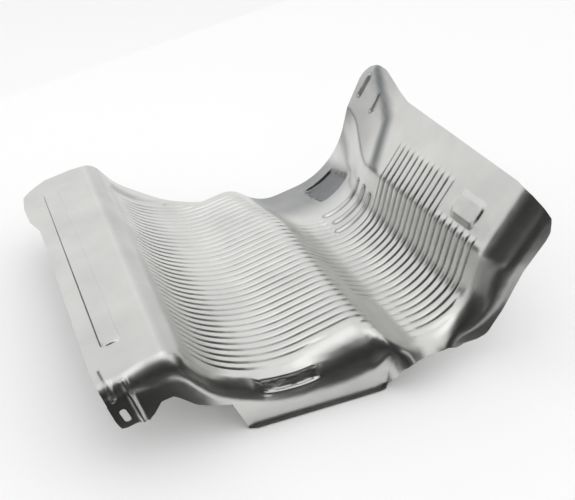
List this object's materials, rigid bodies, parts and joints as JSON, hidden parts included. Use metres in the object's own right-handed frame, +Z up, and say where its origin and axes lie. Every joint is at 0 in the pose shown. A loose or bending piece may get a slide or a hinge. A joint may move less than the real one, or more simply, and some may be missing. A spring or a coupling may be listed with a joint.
{
  "type": "fuel tank shield",
  "caption": "Pressed aluminium heat shield for a fuel tank, with a ribbed trough, a drained valley, a ribbed side wall with a tall rear corner, rolled front skirts and a slotted fixing tab.",
  "frame": {"origin": "middle of the underside of the bounding box", "axes": "+X across the trough from the plate to the tall side wall, -Y towards the rolled front edge, +Z up"},
  "size_m": [0.5532, 0.536, 0.2512],
  "materials": {
    "sheet": "bright mill finish"
  },
  "bodies": {
    "root": {"fuel_tank_shield": "sheet"}
  },
  "joints": []
}
